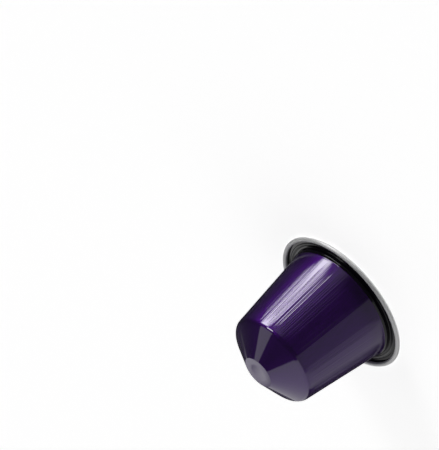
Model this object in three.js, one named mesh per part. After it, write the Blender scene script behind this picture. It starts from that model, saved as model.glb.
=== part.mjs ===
// A sealed single-serve coffee pod, standing on its lid with its nose up.
// Millimetres, +Z up, origin at the middle of the lid's underside, every piece turned about Z.
// The cup is deep drawn from one sheet of aluminium: a conical wall with a small step at its foot, a
// rounded shoulder, a nose cone with a flat tip, and a flange whose edge is rolled over towards the
// nose into a hollow curl.
// The sheet's lacquered face is outside, so the curl shows the bare face, and it stops just above
// the flange and leaves a fine crevice. A foil lid is sealed under the flange and keeps the coffee in.
import * as THREE from "three";

// Driving sizes of the rim and flange
const rimRadius = 18.5; // outside of the curl, half of the 37 mm that such a pod measures
const curlRadius = 0.55; // outside of the rolled edge in section
const curlTurn = 304; // degrees that the sheet turns from the flange's underside to its cut edge
const sheetThickness = 0.12;
const landWidth = 2.1; // from the step at the wall's foot to the curl

// Driving sizes of the cup, its heights taken from the flange's underside
const stepFillet = 0.2; // between the flange and the side of the step
const stepHeight = 1.15; // where the lines of the step's side and its slope would meet
const stepDepth = 0.38; // how far the wall's foot stands in from the step's side
const stepRise = 0.45; // height of the slope from the step's side to the wall
const stepRound = 0.5; // radius at both ends of the slope
const wallTaper = 8; // degrees that the wall leans in
const shoulderHeight = 23.85; // where the lines of wall and nose cone would meet
const shoulderFillet = 1.8;
const cupHeight = 28.25;
const tipRadius = 4.1; // where the lines of nose cone and tip would meet
const tipFillet = 0.5;
const dimpleRadius = 2.3;
const dimpleDepth = 0.22;

// Driving sizes of the sealing ring and the lid
const ringInset = 0.5; // from the step's side to the ring
const ringWidth = 0.9;
const ringHeight = 0.15;
const lidThickness = 0.08;
const lidInset = 1.3; // from the outside of the curl to the lid's edge
const lidEdgeRadius = 0.03;

// Facets of the turned forms
const facetsRound = 72;
const curlSteps = 18;
const stepFilletSteps = 3;
const stepRoundSteps = 3;
const shoulderSteps = 6;
const tipSteps = 3;
const dimpleSteps = 4;
const ringSteps = 6;
const lidEdgeSteps = 2;

// Levels and radii that more than one piece uses
const flangeUnderside = lidThickness;
const flangeTop = flangeUnderside + sheetThickness;
const curlCentre = new THREE.Vector2(rimRadius - curlRadius, flangeUnderside + curlRadius);
const landOuterRadius = rimRadius - 2 * curlRadius;
const stepRadius = landOuterRadius - landWidth;

// Corners of the cup's outline before they are rounded, from the flange to the tip
const landEdge = curlCentre.clone().setY(flangeTop);
const stepFoot = new THREE.Vector2(stepRadius, flangeTop);
const stepTop = new THREE.Vector2(stepRadius, flangeUnderside + stepHeight);
const wallFoot = new THREE.Vector2(stepRadius - stepDepth, stepTop.y + stepRise);
const shoulderLevel = flangeUnderside + shoulderHeight;
const wallLean = (shoulderLevel - wallFoot.y) * Math.tan(THREE.MathUtils.degToRad(wallTaper));
const shoulderCorner = new THREE.Vector2(wallFoot.x - wallLean, shoulderLevel);
const tipLevel = flangeUnderside + cupHeight;
const tipCorner = new THREE.Vector2(tipRadius, tipLevel);
const tipCentre = new THREE.Vector2(0, tipLevel);

// The points of an arc, from one angle to another in degrees
function arcPoints(centre, radius, fromAngle, toAngle, steps) {
  const points = [];
  for (let step = 0; step <= steps; step += 1) {
    const angle = THREE.MathUtils.degToRad(fromAngle + ((toAngle - fromAngle) * step) / steps);
    points.push(new THREE.Vector2(Math.cos(angle), Math.sin(angle)).multiplyScalar(radius).add(centre));
  }
  return points;
}

// The arc that rounds a corner between the points before and after it
function roundedCorner(before, corner, after, radius, steps) {
  const toBefore = before.clone().sub(corner).normalize();
  const toAfter = after.clone().sub(corner).normalize();
  const halfAngle = Math.acos(toBefore.dot(toAfter)) / 2;
  const middle = toBefore.clone().add(toAfter).normalize();
  const centre = middle.multiplyScalar(radius / Math.sin(halfAngle)).add(corner);
  const reach = radius / Math.tan(halfAngle);
  const start = toBefore.multiplyScalar(reach).add(corner).sub(centre);
  const end = toAfter.multiplyScalar(reach).add(corner).sub(centre);
  const fromAngle = THREE.MathUtils.radToDeg(start.angle());
  const fullTurn = THREE.MathUtils.radToDeg(end.angle()) - fromAngle;
  const shortTurn = ((((fullTurn + 180) % 360) + 360) % 360) - 180;
  return arcPoints(centre, radius, fromAngle, fromAngle + shortTurn, steps);
}

// Turns a profile of radius and height about Z
function turned(profile) {
  return new THREE.LatheGeometry(profile, facetsRound).rotateX(Math.PI / 2);
}

// The sheet from the flange's underside round the curl to its cut edge, and back to the flange's top
function curlOutline() {
  const endAngle = curlTurn - 90;
  const outside = arcPoints(curlCentre, curlRadius, -90, endAngle, curlSteps);
  const inside = arcPoints(curlCentre, curlRadius - sheetThickness, endAngle, -90, curlSteps);
  return [...outside, ...inside];
}

// The hollow in the tip, part of a sphere, from its edge to the axis
function dimpleOutline() {
  const sphereRadius = (dimpleRadius ** 2 + dimpleDepth ** 2) / (2 * dimpleDepth);
  const sphereCentre = new THREE.Vector2(0, tipLevel - dimpleDepth + sphereRadius);
  const edgeAngle = THREE.MathUtils.radToDeg(Math.asin(dimpleRadius / sphereRadius)) - 90;
  const points = arcPoints(sphereCentre, sphereRadius, edgeAngle, -90, dimpleSteps);
  points.at(-1).x = 0;
  return points;
}

// The drawn cup with the coffee sealed in it, as one solid from the lid's plane up
function cupGeometry() {
  return turned([
    new THREE.Vector2(0, flangeUnderside),
    ...curlOutline(),
    ...roundedCorner(landEdge, stepFoot, stepTop, stepFillet, stepFilletSteps),
    ...roundedCorner(stepFoot, stepTop, wallFoot, stepRound, stepRoundSteps),
    ...roundedCorner(stepTop, wallFoot, shoulderCorner, stepRound, stepRoundSteps),
    ...roundedCorner(wallFoot, shoulderCorner, tipCorner, shoulderFillet, shoulderSteps),
    ...roundedCorner(shoulderCorner, tipCorner, tipCentre, tipFillet, tipSteps),
    ...dimpleOutline(),
  ]);
}

// A low ring with a round back that lies on the flange's land
function ringGeometry() {
  const halfWidth = ringWidth / 2;
  const middle = stepRadius + ringInset + halfWidth;
  const backRadius = (halfWidth ** 2 + ringHeight ** 2) / (2 * ringHeight);
  const backCentre = new THREE.Vector2(middle, flangeTop + ringHeight - backRadius);
  const halfSpan = THREE.MathUtils.radToDeg(Math.asin(halfWidth / backRadius));
  const back = arcPoints(backCentre, backRadius, 90 - halfSpan, 90 + halfSpan, ringSteps);
  back[0].y = flangeTop;
  back.at(-1).y = flangeTop;
  return turned([...back, back[0].clone()]);
}

// The foil disc under the flange, its lower edge rounded where it was cut
function lidGeometry() {
  const lidRadius = rimRadius - lidInset;
  const edgeCentre = new THREE.Vector2(lidRadius - lidEdgeRadius, lidEdgeRadius);
  return turned([
    new THREE.Vector2(0, 0),
    ...arcPoints(edgeCentre, lidEdgeRadius, -90, 0, lidEdgeSteps),
    new THREE.Vector2(lidRadius, lidThickness),
    new THREE.Vector2(0, lidThickness),
  ]);
}

function piece(name, geometry, finish) {
  const mesh = new THREE.Mesh(geometry, new THREE.MeshStandardMaterial(finish));
  mesh.name = name;
  return mesh;
}

const violetLacquer = { color: 0x3c1470, roughness: 0.16, metalness: 1 };
const darkSealant = { color: 0x120b1a, roughness: 0.4, metalness: 0 };
const bareFoil = { color: 0xc9cacc, roughness: 0.3, metalness: 1 };

const pod = new THREE.Group();
pod.add(piece("filled_cup", cupGeometry(), violetLacquer));
pod.add(piece("sealing_ring", ringGeometry(), darkSealant));
pod.add(piece("foil_lid", lidGeometry(), bareFoil));

export default pod;
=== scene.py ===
import math
import bpy
from mathutils import Matrix, Vector


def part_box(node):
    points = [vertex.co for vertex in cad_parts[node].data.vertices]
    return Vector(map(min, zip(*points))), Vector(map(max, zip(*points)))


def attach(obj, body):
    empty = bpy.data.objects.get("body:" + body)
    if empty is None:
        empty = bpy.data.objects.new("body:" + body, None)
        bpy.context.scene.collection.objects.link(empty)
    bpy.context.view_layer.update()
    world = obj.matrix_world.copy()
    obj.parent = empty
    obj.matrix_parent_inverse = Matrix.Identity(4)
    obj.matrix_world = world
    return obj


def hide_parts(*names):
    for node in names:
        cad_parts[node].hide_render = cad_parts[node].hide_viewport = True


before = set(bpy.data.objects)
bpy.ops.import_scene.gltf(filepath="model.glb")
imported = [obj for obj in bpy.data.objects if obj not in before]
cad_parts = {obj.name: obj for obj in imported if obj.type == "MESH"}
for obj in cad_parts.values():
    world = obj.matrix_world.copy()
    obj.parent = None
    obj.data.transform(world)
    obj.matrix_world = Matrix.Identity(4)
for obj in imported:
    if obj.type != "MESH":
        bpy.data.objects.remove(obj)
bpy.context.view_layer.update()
mm = 0.001
print("frame loaded")


# A shader or geometry socket that can be used in Python sums; each operator adds its Math node
class Wire:
    def __init__(self, tree, socket):
        self.tree = tree
        self.socket = socket

    # Any node: its type, its settings, which are set first, then the values or links of its sockets
    def node(self, kind, settings=None, sockets=None, output=0):
        made = self.tree.nodes.new(kind)
        for name, value in (settings or {}).items():
            setattr(made, name, value)
        for name, value in (sockets or {}).items():
            if isinstance(value, Wire):
                self.tree.links.new(value.socket, made.inputs[name])
            else:
                made.inputs[name].default_value = value
        return Wire(self.tree, made.outputs[output])

    def maths(self, operation, *others, clamp=False):
        settings = {"operation": operation, "use_clamp": clamp}
        terms = (self, *others)
        return self.node("ShaderNodeMath", settings, dict(enumerate(terms)))

    def __add__(self, other):
        return self.maths("ADD", other)

    def __sub__(self, other):
        return self.maths("SUBTRACT", other)

    def __mul__(self, other):
        return self.maths("MULTIPLY", other)

    def __truediv__(self, other):
        return self.maths("DIVIDE", other)

    def __radd__(self, other):
        return self.maths("ADD", other)

    def __rmul__(self, other):
        return self.maths("MULTIPLY", other)

    def __rsub__(self, other):
        return self.node("ShaderNodeMath", {"operation": "SUBTRACT"}, {0: other, 1: self})

    # 0 below start, 1 above start + width
    def rise(self, start, width):
        return ((self - start) / width).maths("ADD", 0.0, clamp=True)


# The photograph's view of the pod, its own axis leaning to the lower left and towards the camera
photoView = {
    "imageWidth": 439,
    "imageHeight": 450,
    "focalPixels": 2670.0,
    "elevation": 25.208,  # degrees above the lid's plane
    "roll": 140.93,  # degrees from the picture's right to the pod's upward axis, clockwise
    "distance": 624.72,  # mm along the line of sight
    "podPixel": (342.27, 300.93),  # the middle of the flange
}


def makeCamera(view):
    elevation = math.radians(view["elevation"])
    roll = math.radians(view["roll"])
    forward = Vector((0, math.cos(elevation), -math.sin(elevation)))
    upright = Vector((0, math.sin(elevation), math.cos(elevation)))
    sideways = Vector((1, 0, 0))
    right = math.cos(roll) * upright - math.sin(roll) * sideways
    down = math.sin(roll) * upright + math.cos(roll) * sideways
    offsetRight = (view["podPixel"][0] - view["imageWidth"] / 2) / view["focalPixels"]
    offsetDown = (view["podPixel"][1] - view["imageHeight"] / 2) / view["focalPixels"]
    flangeLevel = Vector((0, 0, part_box("foil_lid")[1].z))
    toPod = (forward + right * offsetRight + down * offsetDown) * view["distance"] * mm
    place = flangeLevel - toPod
    data = bpy.data.cameras.new("photoCamera")
    data.sensor_width = 36.0
    data.lens = view["focalPixels"] * data.sensor_width / view["imageHeight"]
    camera = bpy.data.objects.new("photoCamera", data)
    axes = Matrix((right, -down, -forward)).transposed()
    camera.matrix_world = Matrix.Translation(place) @ axes.to_4x4()
    bpy.context.collection.objects.link(camera)
    bpy.context.scene.camera = camera
    data.clip_start = 0.01


makeCamera(photoView)
print("camera placed")


# Turned forms: a profile of radius and height in mm, rounded where the sheet or the tool rounds it
def arcPoints(centre, radius, fromAngle, toAngle, steps):
    points = []
    for step in range(steps + 1):
        angle = math.radians(fromAngle + (toAngle - fromAngle) * step / steps)
        points.append(centre + radius * Vector((math.cos(angle), math.sin(angle))))
    return points


def roundedCorner(before, corner, after, radius, steps):
    toBefore = (before - corner).normalized()
    toAfter = (after - corner).normalized()
    halfAngle = math.acos(toBefore.dot(toAfter)) / 2
    centre = corner + (toBefore + toAfter).normalized() * radius / math.sin(halfAngle)
    reach = radius / math.tan(halfAngle)
    start = corner + toBefore * reach - centre
    end = corner + toAfter * reach - centre
    fromAngle = math.degrees(math.atan2(start.y, start.x))
    turn = (math.degrees(math.atan2(end.y, end.x)) - fromAngle + 180) % 360 - 180
    return arcPoints(centre, radius, fromAngle, fromAngle + turn, steps)


def straight(start, end, steps):
    return [start.lerp(end, step / steps) for step in range(1, steps)]


# Vertices of the profile, joined in a line in the XZ plane
def profileObject(name, points):
    mesh = bpy.data.meshes.new(name)
    vertices = [(point.x * mm, 0, point.y * mm) for point in points]
    edges = [(index, index + 1) for index in range(len(points) - 1)]
    mesh.from_pydata(vertices, edges, [])
    piece = bpy.data.objects.new(name, mesh)
    bpy.context.collection.objects.link(piece)
    return piece


sewDistance = 1e-7  # metres
sharpTurn = 50.0  # degrees, past which an edge is left sharp

# Noise of the draw lines: cells round the wall as a share of the line count, and cells to the metre along it
lineNoise = {
    "fineAlong": 18.0,
    "coarseShare": 0.4,
    "coarseAlong": 12.0,
    "coarseWeight": 1.2,
    "stretchShare": 0.012,
    "stretchAlong": 10.0,
    "stretchStart": 0.35,
    "stretchWidth": 0.3,
    "faintest": 0.25,
}


# A tree that turns the profile about Z, with fine lines drawn along the wall and two finishes
def turningTree():
    tree = bpy.data.node_groups.new("turnAboutAxis", "GeometryNodeTree")
    sockets = (
        ("Profile", "NodeSocketGeometry"),
        ("Segments", "NodeSocketInt"),
        ("Line Depth", "NodeSocketFloat"),
        ("Line Count", "NodeSocketFloat"),
        ("Line Foot", "NodeSocketFloat"),
        ("Line Top", "NodeSocketFloat"),
        ("Foot Fade", "NodeSocketFloat"),
        ("Top Fade", "NodeSocketFloat"),
        ("Seed", "NodeSocketFloat"),
        ("Second Finish Rows", "NodeSocketInt"),
        ("Finish", "NodeSocketMaterial"),
        ("Second Finish", "NodeSocketMaterial"),
    )
    for name, kind in sockets:
        tree.interface.new_socket(name=name, in_out="INPUT", socket_type=kind)
    tree.interface.new_socket(name="Turned", in_out="OUTPUT", socket_type="NodeSocketGeometry")
    given = tree.nodes.new("NodeGroupInput")
    inputs = {name: Wire(tree, given.outputs[name]) for name, kind in sockets}
    start = inputs["Profile"]
    rows = start.node("GeometryNodeAttributeDomainSize", {"component": "MESH"}, {"Geometry": start})
    columns = inputs["Segments"] + 1
    grid = start.node("GeometryNodeMeshGrid", {}, {"Vertices X": columns, "Vertices Y": rows})
    index = start.node("GeometryNodeInputIndex")
    row = index.maths("MODULO", rows)
    column = (index / rows).maths("FLOOR")
    position = start.node("GeometryNodeInputPosition")
    found = start.node(
        "GeometryNodeSampleIndex",
        {"data_type": "FLOAT_VECTOR", "domain": "POINT"},
        {"Geometry": start, "Value": position, "Index": row},
    )
    place = found.node("ShaderNodeSeparateXYZ", {}, {"Vector": found})
    radius = Wire(tree, place.socket.node.outputs["X"])
    height = Wire(tree, place.socket.node.outputs["Z"])
    angle = column / inputs["Segments"] * math.tau
    cosine = angle.maths("COSINE")
    sine = angle.maths("SINE")
    relief = drawnLines(inputs, cosine, sine, height)
    turned = radius + relief * inputs["Line Depth"] * radius.rise(0.0, 0.001)
    moved = start.node(
        "ShaderNodeCombineXYZ", {}, {"X": turned * cosine, "Y": turned * sine, "Z": height}
    )
    rowName = {"data_type": "INT", "domain": "POINT"}
    marked = start.node(
        "GeometryNodeStoreNamedAttribute", rowName, {"Geometry": grid, "Name": "profileRow", "Value": row}
    )
    shaped = start.node("GeometryNodeSetPosition", {}, {"Geometry": marked, "Position": moved})
    sewn = start.node(
        "GeometryNodeMergeByDistance", {}, {"Geometry": shaped, "Distance": sewDistance}
    )
    smooth = start.node("GeometryNodeSetShadeSmooth", {}, {"Geometry": sewn, "Shade Smooth": True})
    turn = start.node("GeometryNodeInputMeshEdgeAngle")
    hard = turn.maths("GREATER_THAN", math.radians(sharpTurn))
    creased = start.node(
        "GeometryNodeSetShadeSmooth",
        {"domain": "EDGE"},
        {"Geometry": smooth, "Selection": hard, "Shade Smooth": False},
    )
    real = start.node("GeometryNodeRealizeInstances", {}, {"Geometry": creased})
    finished = start.node(
        "GeometryNodeSetMaterial", {}, {"Geometry": real, "Material": inputs["Finish"]}
    )
    rowMade = start.node(
        "GeometryNodeInputNamedAttribute", {"data_type": "INT"}, {"Name": "profileRow"}
    )
    # rows below the count take the second finish: bare metal on the rim, the near-black painted shade on the
    # cup
    bare = rowMade.maths("LESS_THAN", inputs["Second Finish Rows"])
    both = start.node(
        "GeometryNodeSetMaterial",
        {},
        {"Geometry": finished, "Selection": bare, "Material": inputs["Second Finish"]},
    )
    result = tree.nodes.new("NodeGroupOutput")
    tree.links.new(both.socket, result.inputs["Turned"])
    return tree


# The sheet's draw lines: noise stretched along the wall, strong in some stretches and faint in others
def drawnLines(inputs, cosine, sine, height):
    start = inputs["Profile"]

    def roundNoise(count, along, detail, shift):
        around = count / math.tau
        spot = start.node(
            "ShaderNodeCombineXYZ",
            {},
            {"X": cosine * around, "Y": sine * around, "Z": height * along + inputs["Seed"] + shift},
        )
        settings = {"noise_dimensions": "3D", "normalize": True}
        return start.node(
            "ShaderNodeTexNoise", settings, {"Vector": spot, "Scale": 1.0, "Detail": detail}
        )

    count = inputs["Line Count"]
    fine = roundNoise(count, lineNoise["fineAlong"], 2.0, 0.0) - 0.5
    coarse = roundNoise(count * lineNoise["coarseShare"], lineNoise["coarseAlong"], 1.0, 7.0) - 0.5
    patches = roundNoise(count * lineNoise["stretchShare"], lineNoise["stretchAlong"], 0.0, 3.0)
    stretches = patches.rise(lineNoise["stretchStart"], lineNoise["stretchWidth"])
    foot = ((height - inputs["Line Foot"]) / inputs["Foot Fade"]).maths("ADD", 0.0, clamp=True)
    top = ((inputs["Line Top"] - height) / inputs["Top Fade"]).maths("ADD", 0.0, clamp=True)
    lines = fine + coarse * lineNoise["coarseWeight"]
    return lines * (lineNoise["faintest"] + stretches) * foot * top


# Runs the tree on a profile and leaves a plain mesh with the same name
def turnedPiece(name, points, finish, values):
    piece = profileObject(name, points)
    modifier = piece.modifiers.new("turn", "NODES")
    modifier.node_group = turnTree
    identifiers = {
        item.name: item.identifier
        for item in turnTree.interface.items_tree
        if item.item_type == "SOCKET" and item.in_out == "INPUT"
    }
    settings = {"Foot Fade": 1.0, "Top Fade": 1.0, "Finish": finish, "Second Finish": finish}
    settings.update(values)
    for key, value in settings.items():
        modifier[identifiers[key]] = value
    evaluated = piece.evaluated_get(bpy.context.evaluated_depsgraph_get())
    made = bpy.data.meshes.new_from_object(evaluated)
    made.name = name
    piece.modifiers.clear()
    piece.data = made
    return piece


# The cup in mm and degrees, heights from the flange's underside; its rim and height come from the frame
cupForm = {
    "curlRadius": 0.55,
    "curlTurn": 304.0,
    "sheetThickness": 0.12,
    "cutEdgeRadius": 0.02,
    "landWidth": 2.1,
    "stepFillet": 0.2,
    "stepHeight": 1.15,
    "stepDepth": 0.38,
    "stepRise": 0.45,
    "stepRound": 0.5,
    "wallTaper": 8.0,
    "shoulderHeight": 23.85,
    "shoulderFillet": 1.8,
    "tipRadius": 4.1,
    "tipFillet": 0.5,
    "dimpleRadius": 2.3,
    "dimpleDepth": 0.045,
    "dimpleSoftness": 0.35,
    "dimpleRows": 12,
    "segments": 1400,
    "rimSegments": 512,
    "lineDepth": 0.07,
    "lineCount": 1000.0,
    "footFade": 5.0,
    "topFade": 1.2,
    "wallRows": 12,
    "seed": 4.0,
}


def unitAt(angle):
    return Vector((math.cos(math.radians(angle)), math.sin(math.radians(angle))))


def curlOutline(form, centre):
    outer, inner = form["curlRadius"], form["curlRadius"] - form["sheetThickness"]
    endAngle = form["curlTurn"] - 90
    softness = math.degrees(form["cutEdgeRadius"] / inner)
    outside = arcPoints(centre, outer, -90, endAngle - softness, 30)
    inside = arcPoints(centre, inner, endAngle - softness, -90, 26)
    middle = centre + (outer + inner) / 2 * unitAt(endAngle)
    outerCorner = centre + outer * unitAt(endAngle)
    innerCorner = centre + inner * unitAt(endAngle)
    cut = roundedCorner(outside[-1], outerCorner, middle, form["cutEdgeRadius"], 3)
    cut += roundedCorner(middle, innerCorner, inside[0], form["cutEdgeRadius"], 3)
    return [*outside, *cut], inside


# The profile of the rolled rim with the flange's land, and the profile of the cup inside it
def cupOutlines(form):
    low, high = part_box("filled_cup")
    rim = high.x / mm
    base = low.z / mm
    tip = high.z / mm
    flangeTop = base + form["sheetThickness"]
    centre = Vector((rim - form["curlRadius"], base + form["curlRadius"]))
    stepRadius = rim - 2 * form["curlRadius"] - form["landWidth"]
    landEdge = Vector((centre.x, flangeTop))
    stepFoot = Vector((stepRadius, flangeTop))
    stepTop = Vector((stepRadius, base + form["stepHeight"]))
    wallFoot = Vector((stepRadius - form["stepDepth"], stepTop.y + form["stepRise"]))
    shoulderLevel = base + form["shoulderHeight"]
    lean = (shoulderLevel - wallFoot.y) * math.tan(math.radians(form["wallTaper"]))
    shoulder = Vector((wallFoot.x - lean, shoulderLevel))
    tipEdge = Vector((form["tipRadius"], tip))
    tipMiddle = Vector((0, tip))
    foot = roundedCorner(landEdge, stepFoot, stepTop, form["stepFillet"], 6)
    stepRound = roundedCorner(stepFoot, stepTop, wallFoot, form["stepRound"], 6)
    wallRound = roundedCorner(stepTop, wallFoot, shoulder, form["stepRound"], 6)
    shoulderRound = roundedCorner(wallFoot, shoulder, tipEdge, form["shoulderFillet"], 12)
    tipRound = roundedCorner(shoulder, tipEdge, tipMiddle, form["tipFillet"], 5)
    bare, hidden = curlOutline(form, centre)
    seamTop = foot[0]
    seamFoot = Vector((seamTop.x, base))
    rimPoints = [seamFoot, *bare, *hidden, *straight(hidden[-1], seamTop, 3), seamTop, seamFoot]
    cupPoints = [Vector((0, base)), seamFoot, *foot, *stepRound, *wallRound]
    cupPoints += straight(wallRound[-1], shoulderRound[0], form["wallRows"])
    cupPoints += [*shoulderRound, *straight(shoulderRound[-1], tipRound[0], 3), *tipRound]
    cupPoints += dimpleOutline(form, tip)
    # Rows given the near-black painted shade: the cup's bottom, the foot, the step's round and the lower half
    # of the wall's round
    paintedShadeRows = 2 + len(foot) + len(stepRound) + len(wallRound) // 2
    return rimPoints, 1 + len(bare), cupPoints, paintedShadeRows, wallRound[-1].y, shoulderRound[0].y


# The tip's shallow hollow: part of a sphere whose edge runs softly into the flat
def dimpleOutline(form, tip):
    radius, depth, soften = form["dimpleRadius"], form["dimpleDepth"], form["dimpleSoftness"]
    points = []
    for step in range(form["dimpleRows"] + 1):
        place = (radius + soften) * (1 - step / form["dimpleRows"])
        fall = min(max((radius + soften - place) / (2 * soften), 0.0), 1.0)
        bowl = depth * (1 - (min(place, radius) / radius) ** 2)
        points.append(Vector((place, tip - bowl * fall * fall * (3 - 2 * fall))))
    return points


# The photograph's lacquer: violet over dark, a hard clear coat on top
lacquerLook = {
    "colour": (0.048, 0.004, 0.142, 1.0),
    "roughness": 0.48,
    "coatRoughness": 0.03,
    "coatIor": 1.8,
}


def newMaterial(name):
    material = bpy.data.materials.new(name)
    material.use_nodes = True
    tree = material.node_tree
    shader = tree.nodes["Principled BSDF"]
    coordinates = tree.nodes.new("ShaderNodeTexCoord")
    return material, tree, shader, Wire(tree, coordinates.outputs["Object"])


def stretchedNoise(place, scale, detail=3.0):
    mapped = place.node("ShaderNodeMapping", {}, {"Vector": place, "Scale": scale})
    settings = {"noise_dimensions": "3D", "normalize": True}
    return mapped.node("ShaderNodeTexNoise", settings, {"Vector": mapped, "Scale": 1.0, "Detail": detail})


def bumped(tree, shader, height, distance, strength=1.0):
    values = {"Height": height, "Distance": distance, "Strength": strength}
    bump = height.node("ShaderNodeBump", {}, values)
    tree.links.new(bump.socket, shader.inputs["Normal"])


def mixed(factor, first, second):
    settings = {"data_type": "RGBA", "blend_type": "MIX"}
    made = factor.tree.nodes.new("ShaderNodeMix")
    for name, value in settings.items():
        setattr(made, name, value)
    factor.tree.links.new(factor.socket, made.inputs["Factor"])
    made.inputs[6].default_value = first
    made.inputs[7].default_value = second
    return Wire(factor.tree, made.outputs[2])


def lacquerMaterial(look):
    material, tree, shader, place = newMaterial("violetLacquer")
    lines = stretchedNoise(place, (2400.0, 2400.0, 30.0))
    cloud = stretchedNoise(place, (260.0, 260.0, 120.0))
    deep = tuple(value * 0.8 for value in look["colour"][:3]) + (1.0,)
    pale = tuple(value * 1.2 for value in look["colour"][:3]) + (1.0,)
    tree.links.new(mixed(lines, deep, pale).socket, shader.inputs["Base Color"])
    roughness = look["roughness"] + (lines - 0.5) * 0.12 + (cloud - 0.5) * 0.08
    tree.links.new(roughness.socket, shader.inputs["Roughness"])
    bumped(tree, shader, lines, 0.00001)
    shader.inputs["Metallic"].default_value = 1.0
    shader.inputs["Coat Weight"].default_value = 1.0
    shader.inputs["Coat Roughness"].default_value = look["coatRoughness"]
    shader.inputs["Coat IOR"].default_value = look["coatIor"]
    return material


# The rolled edge shows the sheet's bare face, dulled by the rolling; the foil is brighter
rimLook = {"metallic": 0.35, "roughness": 0.45}
foilLook = {"metallic": 1.0, "roughness": 0.3}


def bareMaterial(name, look):
    material, tree, shader, place = newMaterial(name)
    grain = stretchedNoise(place, (900.0, 900.0, 900.0))
    cloud = stretchedNoise(place, (150.0, 150.0, 150.0))
    colour = mixed(cloud, (0.84, 0.85, 0.86, 1.0), (0.93, 0.93, 0.92, 1.0))
    tree.links.new(colour.socket, shader.inputs["Base Color"])
    tree.links.new((look["roughness"] + (grain - 0.5) * 0.12).socket, shader.inputs["Roughness"])
    bumped(tree, shader, grain, 0.000004)
    shader.inputs["Metallic"].default_value = look["metallic"]
    return material


# Sealing compound for the ring. The same near-black, glossier, is painted shade on the flange's land, the
# inside of the curl, the cup's step and the foot of its wall, standing in for the dark reflection there
def sealantAndShadeMaterial(name, roughness):
    material, tree, shader, place = newMaterial(name)
    cloud = stretchedNoise(place, (400.0, 400.0, 400.0))
    colour = mixed(cloud, (0.004, 0.0035, 0.006, 1.0), (0.008, 0.006, 0.012, 1.0))
    tree.links.new(colour.socket, shader.inputs["Base Color"])
    tree.links.new((roughness + (cloud - 0.5) * 0.06).socket, shader.inputs["Roughness"])
    bumped(tree, shader, cloud, 0.000004)
    shader.inputs["IOR"].default_value = 1.45
    return material


lacquer = lacquerMaterial(lacquerLook)
rimMetal = bareMaterial("bareRim", rimLook)
foil = bareMaterial("bareFoil", foilLook)
sealant = sealantAndShadeMaterial("sealingCompound", 0.22)
# near-black painted shade for the land, the curl's inside, the step and the wall's foot
paintedShadeLand = sealantAndShadeMaterial("paintedShadeLand", 0.08)
print("finishes made")

turnTree = turningTree()


def makeCup(form):
    rimPoints, bareRows, cupPoints, paintedShadeRows, wallFoot, wallTop = cupOutlines(form)
    rimValues = {
        "Segments": form["rimSegments"],
        "Second Finish Rows": bareRows,
        "Second Finish": rimMetal,
    }
    cupValues = {
        "Segments": form["segments"],
        "Line Depth": form["lineDepth"] * mm,
        "Line Count": form["lineCount"],
        "Line Foot": wallFoot * mm,
        "Line Top": wallTop * mm,
        "Foot Fade": form["footFade"] * mm,
        "Top Fade": form["topFade"] * mm,
        "Seed": form["seed"],
        "Second Finish Rows": paintedShadeRows,
        "Second Finish": paintedShadeLand,
    }
    # The rim's curl inside and its land, and the cup's first rows, take the near-black painted shade; the
    # rim's outer face is bare metal
    made = (
        ("rolledRim", rimPoints, paintedShadeLand, rimValues),
        ("drawnCup", cupPoints, lacquer, cupValues),
    )
    for name, points, finish, values in made:
        piece = turnedPiece(name, points, finish, values)
        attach(piece, "root")
        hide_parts("filled_cup")
        print(name, "turned:", len(piece.data.polygons), "faces")


makeCup(cupForm)


# The ring of sealing compound, a low bead with a flat foot; its width in mm
ringForm = {"width": 0.9, "backSteps": 16, "segments": 512}


def makeRing(form):
    low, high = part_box("sealing_ring")
    height = (high.z - low.z) / mm
    outer = high.x / mm
    halfWidth = form["width"] / 2
    back = (halfWidth**2 + height**2) / (2 * height)
    centre = Vector((outer - halfWidth, low.z / mm + height - back))
    halfSpan = math.degrees(math.asin(halfWidth / back))
    points = arcPoints(centre, back, 90 - halfSpan, 90 + halfSpan, form["backSteps"])
    values = {"Segments": form["segments"]}
    piece = turnedPiece("sealingRing", [*points, points[0]], sealant, values)
    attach(piece, "root")
    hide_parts("sealing_ring")
    print("ring turned")


makeRing(ringForm)


# The foil lid, its lower edge rounded in mm where it was cut
lidForm = {"edgeRadius": 0.03, "edgeSteps": 4, "rows": 12, "segments": 512}


def makeLid(form):
    low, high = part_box("foil_lid")
    radius = high.x / mm
    thickness = (high.z - low.z) / mm
    edge = form["edgeRadius"]
    points = [Vector((0, 0)), *straight(Vector((0, 0)), Vector((radius - edge, 0)), form["rows"])]
    points += arcPoints(Vector((radius - edge, edge)), edge, -90, 0, form["edgeSteps"])
    points += [Vector((radius, thickness)), Vector((0, thickness))]
    piece = turnedPiece("foilLid", points, foil, {"Segments": form["segments"]})
    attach(piece, "root")
    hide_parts("foil_lid")
    print("lid turned")


makeLid(lidForm)


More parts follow.
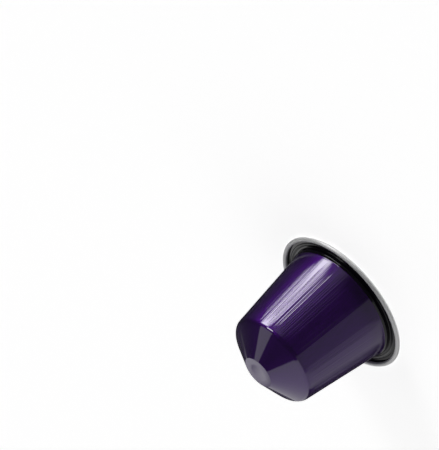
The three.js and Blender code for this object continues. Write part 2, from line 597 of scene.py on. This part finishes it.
# The studio, far off, in degrees. Azimuth runs from +Y towards +X, elevation up. Around and facing place
# a panel by the part of the pod that mirrors it in the photograph: the angle round the pod's axis from
# its near side towards +X, and how far its surface faces up.
studioPanels = {
    "table": {"elevation": (-100.0, -34.0), "level": 1.6, "edge": (1.0, 6.0)},
    "farTable": {"azimuth": (-60.0, 60.0), "elevation": (-70.0, -10.0), "level": 0.02, "edge": (8.0, 6.0)},
    "rimTop": {"azimuth": (-25.0, 25.0), "elevation": (41.0, 57.0), "level": 1.0, "edge": (6.0, 3.0)},
    "rimFront": {"around": (-90.0, 90.0), "facing": (-30.0, -3.0), "level": 1.3, "edge": (10.0, 3.0)},
    "backShade": {"azimuth": (-20.0, -3.0), "elevation": (10.0, 36.0), "level": 0.25, "edge": (1.0, 2.0)},
    "backCard": {"azimuth": (-6.0, 20.0), "elevation": (10.0, 36.0), "level": 0.95, "edge": (3.5, 3.0)},
    "wallCardNear": {"around": (-38.0, -11.0), "facing": (1.0, 34.0), "level": 0.2, "edge": (3.0, 3.0)},
    "wallCardFar": {"around": (-64.0, -33.0), "facing": (1.0, 34.0), "level": 0.46, "edge": (5.0, 3.0)},
    "coneCard": {"around": (-104.0, -15.5), "facing": (30.0, 79.0), "level": 0.6, "edge": (3.0, 2.0)},
    "conePatch": {"around": (24.0, 45.0), "facing": (42.0, 79.0), "level": 0.64, "edge": (2.0, 2.0)},
    "violetBand": {"azimuth": (110.0, 158.0), "elevation": (-20.0, 10.0), "level": 0.28, "edge": (20.0, 4.0)},
    "keyStrip": {"azimuth": (89.0, 116.0), "elevation": (-21.0, 12.0), "level": 7.4, "edge": (9.0, 4.0)},
    "shoulderLight": {"azimuth": (107.0, 127.0), "elevation": (20.0, 31.0), "level": 9.0, "edge": (3.0, 2.0)},
}
studioBase = 0.035


def directionAngles(vector):
    split = vector.node("ShaderNodeSeparateXYZ", {}, {"Vector": vector}).socket.node
    x, y, z = (Wire(vector.tree, split.outputs[axis]) for axis in "XYZ")
    return x, y, z.maths("ARCSINE") * (180 / math.pi)


def band(angle, limits, edge):
    return angle.rise(limits[0], edge) * (limits[1] - angle).rise(0.0, edge)


def makeStudio(panels, view):
    world = bpy.data.worlds.new("studio")
    bpy.context.scene.world = world
    world.use_nodes = True
    tree = world.node_tree
    background = tree.nodes["Background"]
    coordinates = tree.nodes.new("ShaderNodeTexCoord")
    direction = Wire(tree, coordinates.outputs["Generated"])
    elevation = math.radians(view["elevation"])
    towardsPhotographer = (0.0, -math.cos(elevation), math.sin(elevation))
    doubled = direction.node(
        "ShaderNodeVectorMath", {"operation": "ADD"}, {0: direction, 1: towardsPhotographer}
    )
    halfway = doubled.node("ShaderNodeVectorMath", {"operation": "NORMALIZE"}, {0: doubled})
    x, y, angleUp = directionAngles(direction)
    faceX, faceY, facing = directionAngles(halfway)
    angles = {
        "azimuth": x.maths("ARCTAN2", y) * (180 / math.pi),
        "elevation": angleUp,
        "around": faceX.maths("ARCTAN2", -1 * faceY) * (180 / math.pi),
        "facing": facing,
    }
    edges = {"azimuth": 0, "around": 0, "elevation": 1, "facing": 1}
    level = studioBase
    for panel in panels.values():
        share = 1.0
        for name, side in edges.items():
            if name in panel:
                part = band(angles[name], panel[name], panel["edge"][side])
                share = part * part * (3 - 2 * part) * share
        level = level + share * (panel["level"] - level)
    rays = tree.nodes.new("ShaderNodeLightPath")
    seen = Wire(tree, rays.outputs["Is Camera Ray"])
    through = Wire(tree, rays.outputs["Is Transmission Ray"])
    white = seen.maths("MAXIMUM", through)
    strength = white + (1 - white) * level
    tree.links.new(strength.socket, background.inputs["Strength"])
    background.inputs["Color"].default_value = (1.0, 1.0, 1.0, 1.0)


makeStudio(studioPanels, photoView)

floorLook = {"size": 3.0, "albedo": 0.8, "glow": 0.72}


def makeFloor(look):
    half = look["size"] / 2
    mesh = bpy.data.meshes.new("floor")
    corners = [(-half, -half, 0), (half, -half, 0), (half, half, 0), (-half, half, 0)]
    mesh.from_pydata(corners, [], [(0, 1, 2, 3)])
    floor = bpy.data.objects.new("floor", mesh)
    bpy.context.collection.objects.link(floor)
    material, tree, shader, place = newMaterial("whiteFloor")
    shader.inputs["Base Color"].default_value = (look["albedo"],) * 3 + (1.0,)
    shader.inputs["Roughness"].default_value = 1.0
    shader.inputs["Specular IOR Level"].default_value = 0.0
    rays = tree.nodes.new("ShaderNodeLightPath")
    seen = Wire(tree, rays.outputs["Is Camera Ray"])
    shader.inputs["Emission Strength"].default_value = look["glow"]
    tree.links.new(seen.socket, shader.inputs["Emission Color"])
    mesh.materials.append(material)
    floor.visible_glossy = False
    floor.visible_shadow = False


makeFloor(floorLook)
print("studio lit")

bpy.context.scene.view_settings.view_transform = "Standard"
